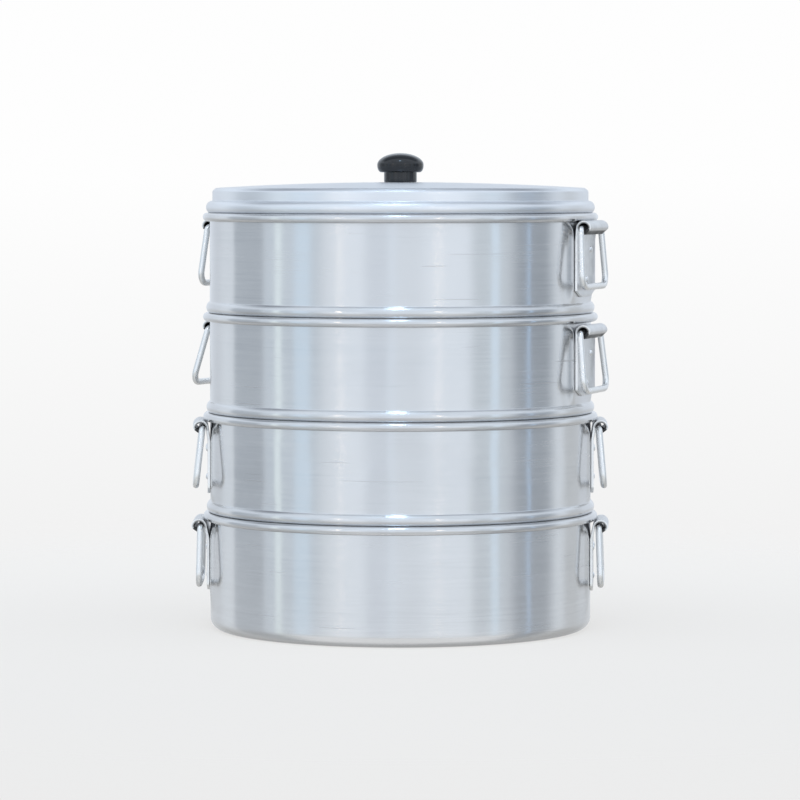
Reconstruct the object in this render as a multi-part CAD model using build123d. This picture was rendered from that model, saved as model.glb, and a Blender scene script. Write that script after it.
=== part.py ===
from build123d import *
import os
from math import atan2, cos, degrees, radians, sin, sqrt, tan

os.makedirs("parts", exist_ok=True)

# A stacked dumpling steamer in millimetres, +Z up, origin at the middle of the pot's base.
# The viewer stands on the -Y side, so the right-hand handles are on the +X side.

# Spun aluminium vessels
wall_radius = 180.0  # outside of the pot and of every tier
vessel_sheet = 1.5
pot_height = 111.0  # base to the top of the pot's rim
tier_pitch = 94.0  # rim to rim from one tier to the next
base_corner = 14.0  # outside radius where the pot's wall turns into its base

# Rolled rim, curled outwards round the top edge of the pot and of each tier
rim_curl = 4.0  # outside radius of the curl
rim_curl_turn = 300.0  # degrees of curl, which leaves its edge just off the wall

# Bead that sits on the rim below, with a spigot under it that drops inside that rim
bead_radius = 6.3  # outside radius of the half-round bead
bead_reach = 3.4  # how far the bead stands out past the wall
bead_fold = 1.5  # radius of the folds that join the bead to the uprights, at mid sheet
seat_gap = 0.2  # left between a bead and the rim that it rests on
spigot_clearance = 1.0  # radial, inside the rim below
spigot_depth = 12.0
spigot_corner = 4.0  # outside radius where the spigot turns into the floor

# Punched steam holes, in rings round a middle hole
steam_hole = 8.0
steam_ring_pitch = 26.0
steam_rings = 6
steam_holes_per_ring = 6  # more holes in each ring than in the ring inside it

# Lid, spun with a stepped band above its bead and a low dome
lid_sheet = 1.5
lid_band_inset = 2.6  # how far the lid's band stands inside the line of the walls
lid_rise = 28.7  # rim of the top tier to the top of the dome
lid_chamfer_width = 3.0
lid_chamfer_height = 2.4
lid_chamfer_round = 2.0
lid_crown = 3.0  # how far the dome swells from its edge to its middle
lid_flat_run = 6.0  # straight run between the chamfer and the dome
lid_skirt_depth = 10.0

# Moulded knob and the screw that holds it
knob_stem_radius = 15.5
knob_stem_height = 9.2
knob_neck_radius = 18.0  # underside of the cap
knob_cap_radius = 22.0
knob_cap_low = 6.8  # underside of the cap to its widest line
knob_cap_high = 11.4  # widest line to the top
knob_stem_round = 0.8
clamp_gap = 0.02  # between faces that a screw or rivet pulls together
screw_radius = 3.0
screw_hole_clearance = 0.3
screw_reach = 8.0  # how far the screw goes into the insert
screw_head_radius = 5.5
screw_head_height = 3.4
screw_head_round = 1.2
screw_slot_width = 1.4
screw_slot_depth = 1.5
washer_radius = 8.0
washer_thickness = 1.2
insert_radius = 5.0
insert_length = 9.0
insert_bore_clearance = 0.05
insert_pocket_clearance = 0.02

# Handle plates, cut from flat sheet with the top edge rolled outwards into an open hook
plate_sheet = 2.5
plate_width = 60.0
plate_wall_gap = 0.1
plate_corner_width = 16.0
plate_corner_height = 6.0
plate_bend = 10.0  # radius at mid sheet where the plate starts to lean out
plate_lean_run = 13.0  # length of the leaning part below the roll
roll_radius = 7.2  # outside radius of the roll
roll_turn_end = 20.0  # degrees above level where the tighter bend starts
lip_bend = 2.2  # radius at mid sheet of that tighter bend
lip_slope = 45.0  # degrees from upright at which the lip runs in under the rod
lip_length = 6.6
roll_rim_gap = 0.35  # between the roll and the rim's curl above it

# Rod bails
rod_radius = 3.0
rod_seat_gap = 0.2  # between the rod and the plate and lip that carry it
bail_side_play = 0.5  # from each end of the roll to the start of the rod's bend
bail_top_bend = 4.5
bail_low_bend = 11.0
bail_drop = 53.7  # from the pivot to the low bar, between centres
bail_splay = 6.0  # degrees by which each leg spreads

# Solid rivets, two above one
rivet_radius = 1.6
rivet_hole_clearance = 0.05
rivet_head_radius = 3.2
rivet_head_height = 1.7
rivet_tail_radius = 3.1
rivet_tail_height = 1.3
rivet_spread = 28.0  # between the two upper rivets
rivet_upper_drop = 20.0  # below the middle of the roll
rivet_lower_drop = 47.5

# Each vessel: its name; how far its right and left handles stand clockwise of +X and of -X,
# seen from above; how far its plates lean out; how far its rolls stand below the place just
# under the rim; its plates' height, roll and all; how far its right and left bails hang out.
# Angles are in degrees.
vessels = [
    ("pot", 3.5, -0.5, 12.0, 0.0, 68.0, 2.0, 1.5),
    ("lower_tier", 1.8, -2.8, 8.0, 0.0, 69.5, 5.0, 6.5),
    ("middle_tier", 18.2, 24.0, 1.0, 2.0, 66.5, 6.0, 15.0),
    ("upper_tier", 18.6, 24.5, 5.0, 0.0, 71.0, 3.8, 6.0),
]

# Worked out from the values above
wall_mid = wall_radius - vessel_sheet / 2
rim_curl_mid = rim_curl - vessel_sheet / 2
rim_x = wall_mid + rim_curl_mid  # middle of the rim's curl
bead_x = wall_radius + bead_reach - bead_radius  # middle of the bead's round
bead_above_seam = sqrt((bead_radius + rim_curl + seat_gap) ** 2 - (rim_x - bead_x) ** 2) - rim_curl
spigot_mid = wall_radius - vessel_sheet - spigot_clearance - vessel_sheet / 2
lid_skirt_mid = wall_radius - vessel_sheet - spigot_clearance - lid_sheet / 2
lid_seam = pot_height + (len(vessels) - 1) * tier_pitch
lid_top = lid_seam + lid_rise
roll_mid = roll_radius - plate_sheet / 2
plate_mid = wall_radius + plate_wall_gap + plate_sheet / 2
plate_face = wall_radius + plate_wall_gap + plate_sheet


def spun(edges, sheet):
    """A vessel or lid spun from sheet that follows these edges, drawn with x as radius."""
    return revolve(Plane.XZ * trace(Curve() + edges, sheet), Axis.Z)


def upright(x, low, high):
    return Line((x, low), (x, high))


def curled_rim(top):
    """The curl round a vessel's top edge, at mid sheet, starting where the wall ends."""
    return CenterArc((rim_x, top - rim_curl), rim_curl_mid, 180, -rim_curl_turn)


def fold_height(x, bead_mid):
    """From the bead's middle to the middle of the fold that joins it to an upright at x."""
    return sqrt((bead_mid + bead_fold) ** 2 - (x + bead_fold - bead_x) ** 2)


def bead(z, low_x, high_x, sheet):
    """The bead round height z and its two folds, between an upright at low_x and one at high_x."""
    bead_mid = bead_radius - sheet / 2
    low = fold_height(low_x, bead_mid)
    high = fold_height(high_x, bead_mid)
    low_angle = degrees(atan2(low, bead_x - low_x - bead_fold))
    high_angle = degrees(atan2(high, high_x + bead_fold - bead_x))
    return [
        CenterArc((low_x + bead_fold, z - low), bead_fold, 180, low_angle - 180),
        CenterArc((bead_x, z), bead_mid, low_angle - 180, 180 - low_angle + high_angle),
        CenterArc((high_x + bead_fold, z + high), bead_fold, 180 + high_angle, -high_angle),
    ]


def pan_floor(wall_x, low, corner):
    """A flat floor whose underside is at low, and the corner that turns it up into a wall at wall_x."""
    middle = low + vessel_sheet / 2
    corner_mid = corner - vessel_sheet / 2
    return [
        Line((0, middle), (wall_x - corner_mid, middle)),
        CenterArc((wall_x - corner_mid, middle + corner_mid), corner_mid, -90, 90),
    ]


def make_pot():
    wall_end = pot_height - rim_curl
    edges = pan_floor(wall_mid, 0, base_corner)
    edges += [upright(wall_mid, base_corner, wall_end), curled_rim(pot_height)]
    return spun(edges, vessel_sheet)


def make_tier(seam):
    """A tier that sits on the rim at height seam, with its floor punched for steam."""
    floor_low = seam - spigot_depth
    bead_z = seam + bead_above_seam
    bead_mid = bead_radius - vessel_sheet / 2
    top = seam + tier_pitch
    edges = pan_floor(spigot_mid, floor_low, spigot_corner)
    edges += [upright(spigot_mid, floor_low + spigot_corner, bead_z - fold_height(spigot_mid, bead_mid))]
    edges += bead(bead_z, spigot_mid, wall_mid, vessel_sheet)
    edges += [upright(wall_mid, bead_z + fold_height(wall_mid, bead_mid), top - rim_curl), curled_rim(top)]
    places = [Pos(0, 0)]
    for ring in range(1, steam_rings + 1):
        places += PolarLocations(ring * steam_ring_pitch, ring * steam_holes_per_ring).locations
    middle = floor_low + vessel_sheet / 2
    punch = Cylinder(steam_hole / 2, 2 * vessel_sheet)
    return spun(edges, vessel_sheet) - [Pos(0, 0, middle) * place * punch for place in places]


def make_lid():
    band_mid = wall_radius - lid_band_inset - lid_sheet / 2
    bead_mid = bead_radius - lid_sheet / 2
    bead_z = lid_seam + bead_above_seam
    crown_mid = lid_top - lid_sheet / 2
    chamfer_x = band_mid - lid_chamfer_width
    dome_x = chamfer_x - lid_flat_run
    dome_radius = (dome_x**2 + lid_crown**2) / (2 * lid_crown)
    dome_edge = crown_mid - lid_crown
    run_z = dome_edge - lid_flat_run * dome_x / (dome_radius - lid_crown)
    band_low = bead_z + fold_height(band_mid, bead_mid)
    skirt_high = bead_z - fold_height(lid_skirt_mid, bead_mid)
    edges = [upright(lid_skirt_mid, lid_seam - lid_skirt_depth, skirt_high)]
    edges += bead(bead_z, lid_skirt_mid, band_mid, lid_sheet)
    edges += FilletPolyline(
        (band_mid, band_low),
        (band_mid, run_z - lid_chamfer_height),
        (chamfer_x, run_z),
        (dome_x, dome_edge),
        radius=lid_chamfer_round,
    ).edges()
    half_angle = degrees(atan2(dome_x, dome_radius - lid_crown))
    edges += [CenterArc((0, crown_mid - dome_radius), dome_radius, 90 - half_angle, half_angle)]
    screw_hole = Pos(0, 0, crown_mid) * Cylinder(screw_radius + screw_hole_clearance, 4 * lid_sheet)
    return spun(edges, lid_sheet) - screw_hole


def make_knob():
    """A mushroom knob moulded round a pocket for its threaded insert."""
    quarter_ellipse = 4 * (sqrt(2) - 1) / 3  # share at which a Bezier curve follows a quarter ellipse
    cap_low = knob_stem_height
    widest = cap_low + knob_cap_low
    outline = [
        Line((0, 0), (knob_stem_radius, 0)),
        Line((knob_stem_radius, 0), (knob_stem_radius, cap_low)),
        Line((knob_stem_radius, cap_low), (knob_neck_radius, cap_low)),
        Bezier((knob_neck_radius, cap_low), (knob_cap_radius, cap_low), (knob_cap_radius, widest)),
        Bezier(
            (knob_cap_radius, widest),
            (knob_cap_radius, widest + quarter_ellipse * knob_cap_high),
            (quarter_ellipse * knob_cap_radius, widest + knob_cap_high),
            (0, widest + knob_cap_high),
        ),
        Line((0, widest + knob_cap_high), (0, 0)),
    ]
    knob = revolve(Plane.XZ * make_face(outline), Axis.Z)
    knob = fillet(knob.edges().filter_by(GeomType.CIRCLE).group_by(Axis.Z)[0], knob_stem_round)
    pocket = Cylinder(
        insert_radius + insert_pocket_clearance,
        insert_length + insert_pocket_clearance,
        align=(Align.CENTER, Align.CENTER, Align.MIN),
    )
    return Pos(0, 0, lid_top + clamp_gap) * (knob - pocket)


def make_insert():
    upwards = (Align.CENTER, Align.CENTER, Align.MIN)
    bush = Cylinder(insert_radius, insert_length, align=upwards)
    bush -= Cylinder(screw_radius + insert_bore_clearance, insert_length, align=upwards)
    return Pos(0, 0, lid_top + clamp_gap) * bush


def make_washer():
    downwards = (Align.CENTER, Align.CENTER, Align.MAX)
    washer = Cylinder(washer_radius, washer_thickness, align=downwards)
    washer -= Cylinder(screw_radius + screw_hole_clearance, washer_thickness, align=downwards)
    return Pos(0, 0, lid_top - lid_sheet - clamp_gap) * washer


def make_screw():
    """A slotted pan-head screw, put in from under the lid."""
    head_top = lid_top - lid_sheet - washer_thickness - 2 * clamp_gap
    shank_length = lid_top + screw_reach - head_top
    downwards = (Align.CENTER, Align.CENTER, Align.MAX)
    head = Cylinder(screw_head_radius, screw_head_height, align=downwards)
    head = fillet(head.edges().group_by(Axis.Z)[0], screw_head_round)
    slot = Box(2 * screw_head_radius, screw_slot_width, screw_slot_depth, align=(Align.CENTER, Align.CENTER, Align.MIN))
    head -= Pos(0, 0, -screw_head_height) * slot
    shank = Cylinder(screw_radius, shank_length, align=(Align.CENTER, Align.CENTER, Align.MIN))
    return Pos(0, 0, head_top) * (head + shank)


def roll_place(lean, top):
    """The middle of a handle's roll, as distance from the axis and height, just under the rim at top."""
    x = plate_mid + plate_lean_run * sin(radians(lean)) + roll_mid * cos(radians(lean))
    z = top - rim_curl - sqrt((rim_curl + roll_radius + roll_rim_gap) ** 2 - (x - rim_x) ** 2)
    return x, z


def lip_start():
    """Where the lip leaves its bend, from the middle of the roll, for a plate that doesn't lean."""
    bend_offset = roll_mid - lip_bend
    x = bend_offset * cos(radians(roll_turn_end)) + lip_bend * cos(radians(lip_slope))
    z = bend_offset * sin(radians(roll_turn_end)) - lip_bend * sin(radians(lip_slope))
    return x, z


def pivot_place(lean, top):
    """The rod's middle, lying in the notch between the plate and the lip."""
    slope = radians(lip_slope)
    lip_x, lip_z = lip_start()
    rod_x = -(roll_radius - plate_sheet) + rod_radius + rod_seat_gap
    lip_distance = rod_radius + rod_seat_gap + plate_sheet / 2
    rod_z = lip_z + (lip_distance - (lip_x - rod_x) * cos(slope)) / sin(slope)
    roll_x, roll_z = roll_place(lean, top)
    turn = radians(lean)
    x = roll_x + rod_x * cos(turn) + rod_z * sin(turn)
    z = roll_z - rod_x * sin(turn) + rod_z * cos(turn)
    return x, z


def rivet_places(lean, top):
    """Sideways place and height of each rivet of one plate."""
    roll_z = roll_place(lean, top)[1]
    upper = roll_z - rivet_upper_drop
    return [(-rivet_spread / 2, upper), (rivet_spread / 2, upper), (0, roll_z - rivet_lower_drop)]


def rivet_holes(lean, top):
    """Holes for one handle's rivets, through its plate and the vessel's wall, on the +X side."""
    reach = 4 * (vessel_sheet + plate_sheet)
    hole = Rot(0, 90, 0) * Cylinder(rivet_radius + rivet_hole_clearance, reach)
    return [Pos(wall_radius, y, z) * hole for y, z in rivet_places(lean, top)]


def make_plate(lean, top, height):
    """A handle plate on the +X side: flat at the wall, leaning out above, rolled over at the top."""
    roll_x, roll_z = roll_place(lean, top)
    turn = radians(lean)
    lean_top = (roll_x - roll_mid * cos(turn), roll_z + roll_mid * sin(turn))
    lean_foot = (plate_mid, lean_top[1] - plate_lean_run * cos(turn))
    bend_offset = roll_mid - lip_bend
    bend_middle = (
        bend_offset * cos(radians(roll_turn_end)),
        bend_offset * sin(radians(roll_turn_end)),
    )
    lip_x, lip_z = lip_start()
    lip_end = (
        lip_x - lip_length * sin(radians(lip_slope)),
        lip_z - lip_length * cos(radians(lip_slope)),
    )
    low = roll_z + roll_radius - height
    upright_part = FilletPolyline((plate_mid, low), lean_foot, lean_top, radius=plate_bend)
    hook = [
        CenterArc((0, 0), roll_mid, 180, roll_turn_end - 180),
        CenterArc(bend_middle, lip_bend, roll_turn_end, -roll_turn_end - lip_slope),
        Line((lip_x, lip_z), lip_end),
    ]
    edges = upright_part.edges() + [Pos(roll_x, roll_z) * Rot(0, 0, -lean) * edge for edge in hook]
    section = trace(Curve() + edges, plate_sheet)
    plate = extrude(Plane.XZ * section, plate_width / 2, both=True)
    corner = Polyline(
        (plate_width / 2, low + plate_corner_height),
        (plate_width / 2, low),
        (plate_width / 2 - plate_corner_width, low),
        close=True,
    )
    cut = extrude(Plane.YZ.offset(wall_radius) * make_face(corner), 2 * plate_sheet, both=True)
    return plate - cut - mirror(cut, Plane.XZ) - rivet_holes(lean, top)


def make_rivets(lean, top):
    """The three rivets of one plate, each with a round head outside and a flat one inside."""
    wall_inside = wall_radius - vessel_sheet
    rivets = []
    for y, z in rivet_places(lean, top):
        tail_face = sqrt(wall_inside**2 - (abs(y) + rivet_tail_radius) ** 2) - clamp_gap
        head_face = plate_face + clamp_gap
        head_radius = (rivet_head_radius**2 + rivet_head_height**2) / (2 * rivet_head_height)
        outline = [
            Line((0, tail_face - rivet_tail_height), (rivet_tail_radius, tail_face - rivet_tail_height)),
            Line((rivet_tail_radius, tail_face - rivet_tail_height), (rivet_tail_radius, tail_face)),
            Line((rivet_tail_radius, tail_face), (rivet_radius, tail_face)),
            Line((rivet_radius, tail_face), (rivet_radius, head_face)),
            Line((rivet_radius, head_face), (rivet_head_radius, head_face)),
            RadiusArc((rivet_head_radius, head_face), (0, head_face + rivet_head_height), -head_radius),
            Line((0, head_face + rivet_head_height), (0, tail_face - rivet_tail_height)),
        ]
        rivet = revolve(Plane.XZ * make_face(outline), Axis.Z)
        rivets.append(Pos(0, y, z) * Rot(0, 90, 0) * rivet)
    return rivets


def make_bail(lean, top, hang):
    """A closed rod bail on the +X side, hanging hang degrees out from straight down."""
    pivot_x, pivot_z = pivot_place(lean, top)
    turn = radians(90 - bail_splay)
    top_corner = plate_width / 2 + bail_side_play + bail_top_bend * tan(turn / 2)
    low_corner = top_corner + bail_drop * tan(radians(bail_splay))
    half_path = FilletPolyline(
        (0, 0), (top_corner, 0), (low_corner, -bail_drop), (0, -bail_drop), radius=[bail_top_bend, bail_low_bend]
    )
    frame = Plane(origin=(0, 0, 0), x_dir=(0, 1, 0), z_dir=(1, 0, 0))
    half = sweep(Plane.XZ * Circle(rod_radius), frame * half_path)
    bail = half + mirror(half, Plane.XZ)
    return Pos(pivot_x, 0, pivot_z) * Rot(0, -hang, 0) * bail


def build_nodes():
    """Every piece by node name, in the place where it stands."""
    nodes = {}
    for number, (vessel, right_turn, left_turn, lean, drop, height, right_hang, left_hang) in enumerate(vessels):
        rim_top = pot_height + number * tier_pitch
        shell = make_tier(rim_top - tier_pitch) if number else make_pot()
        top = rim_top - drop
        plate = make_plate(lean, top, height)
        rivets = make_rivets(lean, top)
        for side, angle, hang in (("right", -right_turn, right_hang), ("left", 180 - left_turn, left_hang)):
            place = Rot(0, 0, angle)
            shell -= [place * hole for hole in rivet_holes(lean, top)]
            nodes[f"{vessel}_{side}_handle_plate"] = place * plate
            nodes[f"{vessel}_{side}_rivets"] = Compound([place * rivet for rivet in rivets])
            nodes[f"{vessel}_{side}_bail"] = place * make_bail(lean, top, hang)
        nodes[f"{vessel}_pan" if number else "water_pot"] = shell
    nodes["lid_cover"] = make_lid()
    nodes["lid_knob"] = make_knob()
    nodes["knob_insert"] = make_insert()
    nodes["knob_screw"] = make_screw()
    nodes["knob_washer"] = make_washer()
    return nodes


nodes = build_nodes()
for name, shape in nodes.items():
    export_step(shape, f"parts/{name}.step")
    print(name, round(shape.volume, 1))
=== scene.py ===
from math import asin, atan2, cos, degrees, hypot, pi, radians, sin, sqrt, tan

import bmesh
import bpy
from mathutils import Matrix, Vector, noise


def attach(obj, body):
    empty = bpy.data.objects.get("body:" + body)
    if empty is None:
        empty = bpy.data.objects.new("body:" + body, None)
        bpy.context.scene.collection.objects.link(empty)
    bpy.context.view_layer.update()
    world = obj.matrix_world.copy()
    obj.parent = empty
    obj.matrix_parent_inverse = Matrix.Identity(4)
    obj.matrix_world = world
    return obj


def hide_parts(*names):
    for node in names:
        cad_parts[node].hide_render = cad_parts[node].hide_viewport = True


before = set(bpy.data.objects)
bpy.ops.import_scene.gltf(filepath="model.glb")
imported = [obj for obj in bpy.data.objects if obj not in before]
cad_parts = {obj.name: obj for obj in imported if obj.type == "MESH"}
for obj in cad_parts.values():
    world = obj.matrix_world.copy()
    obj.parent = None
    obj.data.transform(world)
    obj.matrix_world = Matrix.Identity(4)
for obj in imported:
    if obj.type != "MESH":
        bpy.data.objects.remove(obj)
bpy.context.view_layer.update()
scene = bpy.context.scene
scene.view_settings.view_transform = "Standard"

# The camera stands level with the lid, nearly four metres away, and looks slightly
# down at the middle of the stack through a long lens.
eye = Vector((0.0, -3.773, 0.425))
looked_at = Vector((-0.0004, 0.0, 0.2157))
sensor_width = 36.0
picture_width = 800
focal_pixels = 3990.0

camera = bpy.data.objects.new("camera", bpy.data.cameras.new("camera"))
scene.collection.objects.link(camera)
camera.data.sensor_width = sensor_width
camera.data.lens = focal_pixels * sensor_width / picture_width
camera.data.clip_start = 0.1
camera.data.clip_end = 100.0
camera.location = eye
camera.rotation_mode = "QUATERNION"
camera.rotation_quaternion = (looked_at - eye).to_track_quat("-Z", "Y")
scene.camera = camera

# The studio is a white sweep behind the object, broad soft light in front, brighter and darker
# uprights on each side that give the metal its streaks and edges, a bright ceiling that
# darkens towards the back, and a few small lamps.
sweep_colour = (0.88, 0.95, 1.03)
ceiling_colour = (0.94, 1.03, 1.14)
ground_tint = (0.97, 0.95, 0.92)
deep_tint = (0.70, 0.68, 0.65)
back_colour = (0.78, 0.84, 0.92)
back_low_colour = (0.66, 0.70, 0.75)
background_white = 0.99
background_fall = 1.17
background_low = 0.84
dark_ceiling = (0.30, 0.33, 0.38)

# Where the colours above change over, as the height and the depth of a direction of length
# one, and the azimuths, in degrees to the right of the way to the camera.
back_low_heights = (-0.11, -0.02)
back_azimuths = (128.0, 148.0)
ceiling_heights = (0.2, 0.45)
dark_heights = (0.45, 0.75)
dark_depths = (0.0, 0.35)
ground_heights = (-0.02, -0.2)
deep_heights = (-0.15, -0.45)

# Upright lights and dark flags, in degrees: whole within half_width of their azimuth, and
# fading out over soft. A later one lies over an earlier one.
soft_boxes = {
    "front light": {"azimuth": 2.0, "half_width": 34.0, "soft": 24.0, "colour": (1.06, 1.15, 1.26)},
    "round the camera": {"azimuth": 3.0, "half_width": 5.0, "soft": 12.0, "colour": (0.96, 1.04, 1.14)},
    "beside the camera": {"azimuth": -13.0, "half_width": 4.0, "soft": 8.0, "colour": (0.89, 0.97, 1.08)},
    "camera light": {"azimuth": -5.0, "half_width": 1.0, "soft": 3.0, "colour": (0.99, 1.09, 1.21)},
    "left room": {"azimuth": -70.0, "half_width": 16.0, "soft": 10.0, "colour": (0.76, 0.85, 0.95)},
    "left window": {"azimuth": -61.0, "half_width": 3.0, "soft": 5.0, "colour": (0.85, 1.01, 1.17)},
    "left strip": {"azimuth": -78.5, "half_width": 1.6, "soft": 1.6, "colour": (1.08, 1.21, 1.26)},
    "left flag": {"azimuth": -105.0, "half_width": 12.0, "soft": 5.0, "colour": (0.56, 0.62, 0.69)},
    "right room": {"azimuth": 56.0, "half_width": 8.0, "soft": 8.0, "colour": (0.78, 0.86, 0.94)},
    "right strip": {"azimuth": 58.5, "half_width": 1.8, "soft": 1.8, "colour": (0.94, 1.10, 1.26)},
    "right flag": {"azimuth": 87.0, "half_width": 9.0, "soft": 15.0, "colour": (0.42, 0.47, 0.53)},
    "right thread": {"azimuth": 83.6, "half_width": 0.5, "soft": 0.7, "colour": (0.70, 0.95, 1.30)},
    "right edge": {"azimuth": 128.0, "half_width": 6.0, "soft": 10.0, "colour": (0.68, 0.72, 0.76)},
}

# Round lamps, in degrees: whole within their radius, and faded out at lamp_fade times it.
lamp_fade = 1.5
small_lamps = {
    "wide skylight": {"azimuth": -4.0, "elevation": 64.0, "radius": 14.0, "colour": (1.0, 1.14, 1.3)},
    "skylight": {"azimuth": -4.0, "elevation": 72.0, "radius": 2.5, "colour": (9.5, 13.0, 17.0)},
    "right lamp": {"azimuth": 23.0, "elevation": 16.0, "radius": 1.4, "colour": (7.5, 6.2, 4.8)},
    "left lamp": {"azimuth": -37.0, "elevation": 16.0, "radius": 1.4, "colour": (7.5, 6.2, 4.8)},
}


def feed(tree, socket, value):
    """Links a socket to the one given, or gives it the number or the colour."""
    if isinstance(value, bpy.types.NodeSocket):
        tree.links.new(value, socket)
    elif isinstance(value, tuple):
        socket.default_value = (*value, 1.0)
    else:
        socket.default_value = value


def math_node(tree, operation, *values):
    """A Math node whose inputs are sockets or numbers. Returns its output."""
    node = tree.nodes.new("ShaderNodeMath")
    node.operation = operation
    for place, value in enumerate(values):
        feed(tree, node.inputs[place], value)
    return node.outputs[0]


def smooth_range(tree, value, low, high, to_low=0.0, to_high=1.0):
    """A smooth step from to_low to to_high as value goes from low to high."""
    node = tree.nodes.new("ShaderNodeMapRange")
    node.interpolation_type = "SMOOTHSTEP"
    tree.links.new(value, node.inputs["Value"])
    node.inputs["From Min"].default_value = low
    node.inputs["From Max"].default_value = high
    node.inputs["To Min"].default_value = to_low
    node.inputs["To Max"].default_value = to_high
    return node.outputs["Result"]


def mix_colours(tree, share, first, second, blend="MIX"):
    """A blend from first to second, each a colour or a socket, as far as share says."""
    node = tree.nodes.new("ShaderNodeMix")
    node.data_type = "RGBA"
    node.blend_type = blend
    feed(tree, node.inputs[0], share)
    feed(tree, node.inputs[6], first)
    feed(tree, node.inputs[7], second)
    return node.outputs[2]


def build_studio():
    world = bpy.data.worlds.new("studio")
    world.use_nodes = True
    tree = world.node_tree
    sight = tree.nodes.new("ShaderNodeTexCoord").outputs["Generated"]
    direction = tree.nodes.new("ShaderNodeSeparateXYZ")
    tree.links.new(sight, direction.inputs[0])
    across, depth, height = direction.outputs
    azimuth = math_node(tree, "ARCTAN2", across, math_node(tree, "MULTIPLY", depth, -1.0))
    azimuth = math_node(tree, "DEGREES", azimuth)
    colour = sweep_colour
    for box in soft_boxes.values():
        offset = math_node(tree, "ABSOLUTE", math_node(tree, "SUBTRACT", azimuth, box["azimuth"]))
        outer = box["half_width"] + box["soft"]
        within = smooth_range(tree, offset, box["half_width"], outer, 1.0, 0.0)
        colour = mix_colours(tree, within, colour, box["colour"])
    back = mix_colours(tree, smooth_range(tree, height, *back_low_heights), back_low_colour, back_colour)
    behind = smooth_range(tree, math_node(tree, "ABSOLUTE", azimuth), *back_azimuths)
    colour = mix_colours(tree, behind, colour, back)
    colour = mix_colours(tree, smooth_range(tree, height, *ceiling_heights), colour, ceiling_colour)
    overhead = smooth_range(tree, height, *dark_heights)
    over_back = math_node(tree, "MULTIPLY", overhead, smooth_range(tree, depth, *dark_depths))
    colour = mix_colours(tree, over_back, colour, dark_ceiling)
    for lamp in small_lamps.values():
        rise = radians(lamp["elevation"])
        turn = radians(lamp["azimuth"])
        nearness = tree.nodes.new("ShaderNodeVectorMath")
        nearness.operation = "DOT_PRODUCT"
        tree.links.new(sight, nearness.inputs[0])
        nearness.inputs[1].default_value = (cos(rise) * sin(turn), -cos(rise) * cos(turn), sin(rise))
        outer = cos(radians(lamp_fade * lamp["radius"]))
        lit = smooth_range(tree, nearness.outputs["Value"], outer, cos(radians(lamp["radius"])))
        colour = mix_colours(tree, lit, colour, lamp["colour"])
    colour = mix_colours(tree, smooth_range(tree, height, *ground_heights), colour, ground_tint, "MULTIPLY")
    colour = mix_colours(tree, smooth_range(tree, height, *deep_heights), colour, deep_tint, "MULTIPLY")
    below = math_node(tree, "MINIMUM", height, 0.0)
    white = math_node(tree, "MULTIPLY_ADD", below, background_fall, background_white)
    white = math_node(tree, "MAXIMUM", white, background_low)
    seen = tree.nodes.new("ShaderNodeLightPath").outputs["Is Camera Ray"]
    tree.links.new(mix_colours(tree, seen, colour, white), tree.nodes["Background"].inputs["Color"])
    scene.world = world


build_studio()

# The floor is a round pale sheet that takes the object's soft shadow and thins out at its edge
# into the white of the sweep. Metal sees it dimmer than the camera does, and sees a faint
# glowing ring beside the front of the pot, as if light crept under it.
floor_radius = 1.3
floor_solid = 0.5
floor_colour = (0.31, 0.29, 0.265)
floor_roughness = 0.9
floor_glow_run = (-0.6, 1.2)
floor_glow_near = 0.59
floor_glow_far = 0.64
floor_in_metal = 0.25
ring_glow = 0.12
ring_start = (0.174, 0.182)
ring_end = (0.19, 0.24)
ring_front = (-0.135, -0.168)


def new_surface(name, metallic=0.0):
    """A new material, its node tree and its Principled BSDF."""
    material = bpy.data.materials.new(name)
    material.use_nodes = True
    surface = material.node_tree.nodes["Principled BSDF"]
    surface.inputs["Metallic"].default_value = metallic
    return material, material.node_tree, surface


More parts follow.
